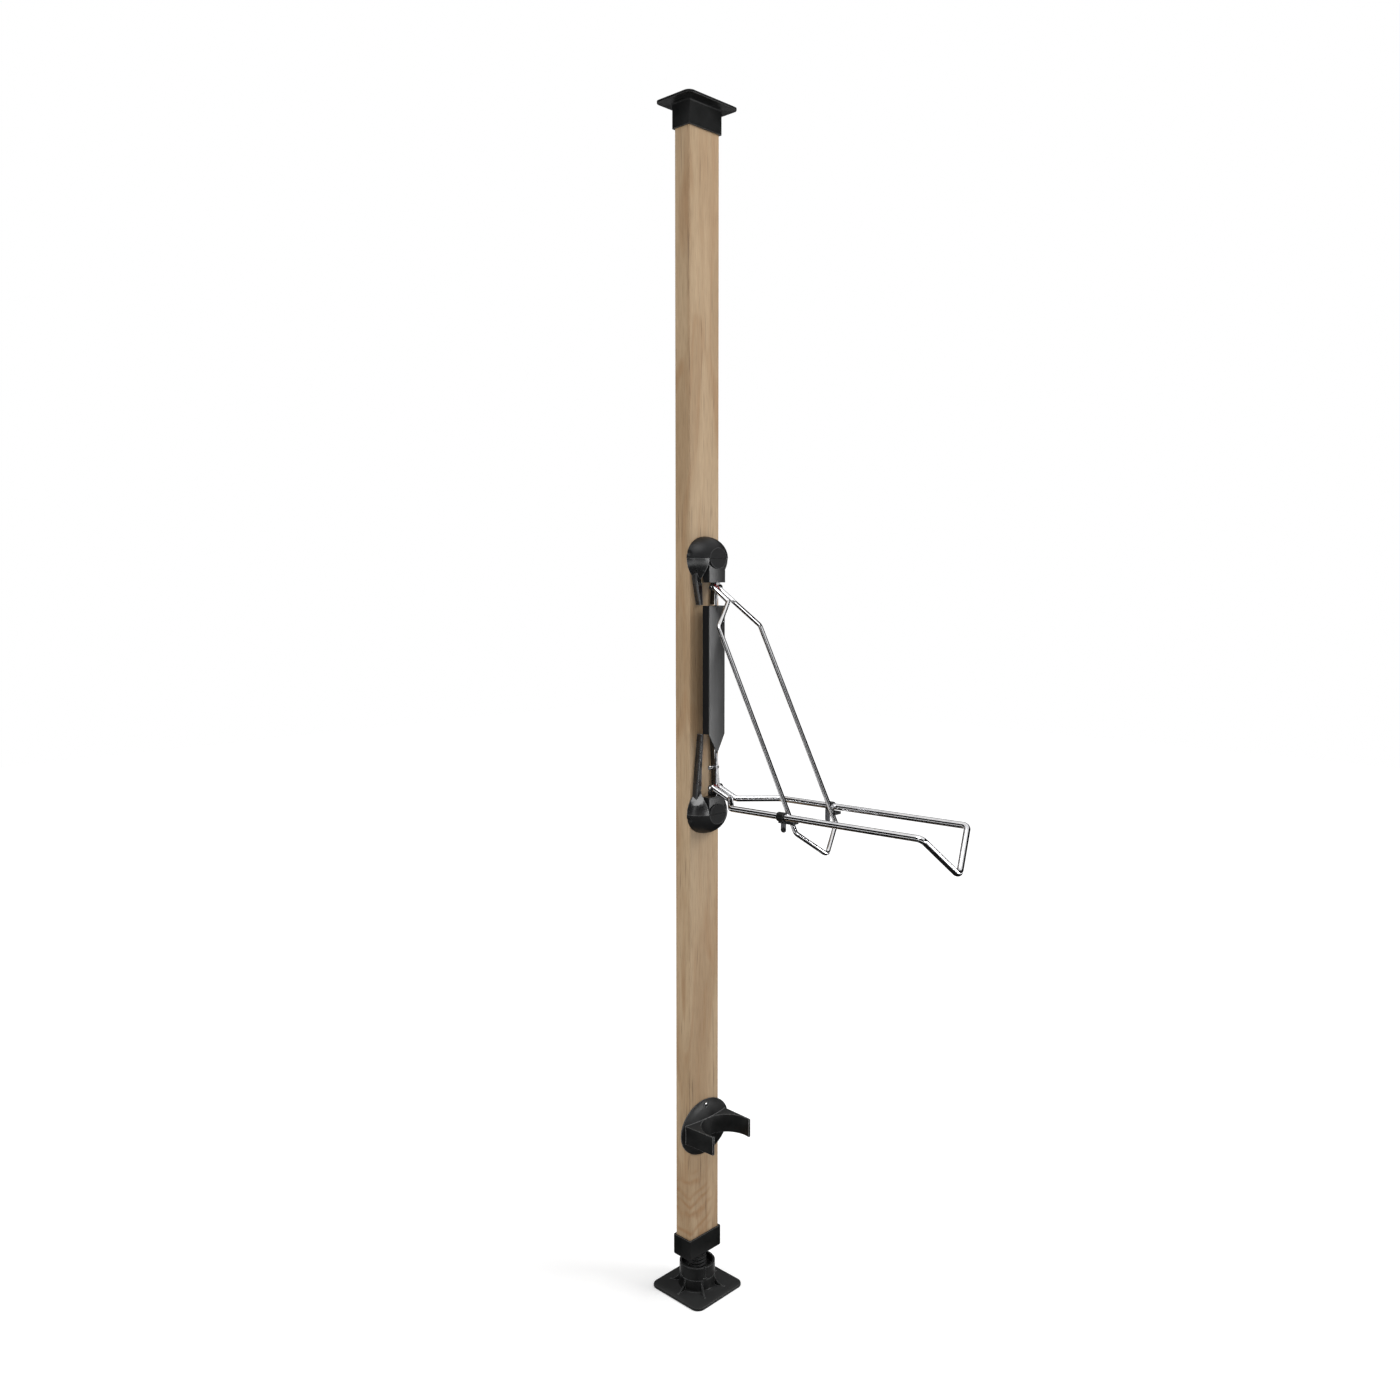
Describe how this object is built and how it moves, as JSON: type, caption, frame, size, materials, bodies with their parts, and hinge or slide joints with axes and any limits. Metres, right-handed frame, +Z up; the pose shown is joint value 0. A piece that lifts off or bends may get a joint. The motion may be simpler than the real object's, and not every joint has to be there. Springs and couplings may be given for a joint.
{
  "type": "portable bike rack",
  "caption": "Timber pole jacked between floor and ceiling, with a fold-up two-arm bike rack that swivels and a wheel rest below it.",
  "frame": {"origin": "on the floor, at the centre of the foot plate's underside, on the pole's axis", "axes": "+Z up along the pole, the rack faces -Y, +X is the rack's right seen from behind the rack's arms towards the pole"},
  "size_m": [0.1718, 0.7313, 2.5582],
  "materials": {
    "timber": "planed",
    "black_plastic": "satin",
    "black_casting": "black gloss coat",
    "dark_cover": "satin",
    "chrome_bar": "polished",
    "dark_steel": "dark zinc",
    "red_plastic": "satin"
  },
  "bodies": {
    "foot": {"foot_base": "black_plastic"},
    "nut": {"jack_nut": "black_plastic"},
    "pole": {"timber_post": "timber", "ceiling_cap": "black_plastic", "post_socket": "black_plastic", "jack_stem": "black_plastic", "wheel_rest": "black_plastic", "rest_screw_top": "chrome_bar", "rest_screw_bottom": "chrome_bar", "upper_bracket": "black_casting", "lower_bracket": "black_casting", "upper_dome_cover": "dark_cover", "lower_dome_cover": "dark_cover", "upper_swivel_pin": "dark_steel", "lower_swivel_pin": "dark_steel", "upper_screw_left": "chrome_bar", "upper_screw_right": "chrome_bar", "lower_screw_left": "chrome_bar", "lower_screw_right": "chrome_bar"},
    "swivel_unit": {"upper_pivot_block": "dark_cover", "lower_pivot_block": "dark_cover", "rail_channel": "dark_cover", "spine_bar": "dark_steel", "cross_bolt": "chrome_bar", "upper_arm_pin": "chrome_bar", "lower_arm_pin": "chrome_bar", "upper_bush_left": "black_plastic", "upper_bush_right": "black_plastic", "lower_bush_left": "black_plastic", "lower_bush_right": "black_plastic", "upper_washer_left": "red_plastic", "upper_washer_right": "red_plastic", "lower_washer_left": "red_plastic", "lower_washer_right": "red_plastic"},
    "upper_wire": {"upper_arm": "chrome_bar"},
    "lower_wire": {"lower_arm": "chrome_bar", "clip_left": "black_plastic", "clip_right": "black_plastic", "stop_tab_left": "dark_steel", "stop_tab_right": "dark_steel", "stop_pad_left": "black_plastic", "stop_pad_right": "black_plastic"}
  },
  "joints": [
    {"name": "jack_nut_turn", "type": "hinge", "parent": "foot", "child": "nut", "pos_m": [0, 0, 0.0321], "axis": [0, 0, 1], "range_deg": [-900, 810]},
    {"name": "jack_extension", "type": "slide", "parent": "foot", "child": "pole", "axis": [0, 0, 1], "range_m": [-0.018, 0.02]},
    {"name": "rack_swivel", "type": "hinge", "parent": "pole", "child": "swivel_unit", "pos_m": [0, -0.0498, 1.345], "axis": [0, 0, 1], "range_deg": [-45, 45]},
    {"name": "lower_arm_fold", "type": "hinge", "parent": "swivel_unit", "child": "lower_wire", "pos_m": [0, -0.0545, 1.13], "axis": [-1, 0, 0], "range_deg": [0, 85]},
    {"name": "upper_arm_fold", "type": "hinge", "parent": "swivel_unit", "child": "upper_wire", "pos_m": [0, -0.0545, 1.556], "axis": [1, 0, 0], "range_deg": [0, 22.5]}
  ],
  "couplings": [
    {"joint": "jack_nut_turn", "follows": "jack_extension", "rad_per_m": -785.4},
    {"joint": "upper_arm_fold", "follows": "lower_arm_fold", "ratio": 0.2647}
  ]
}
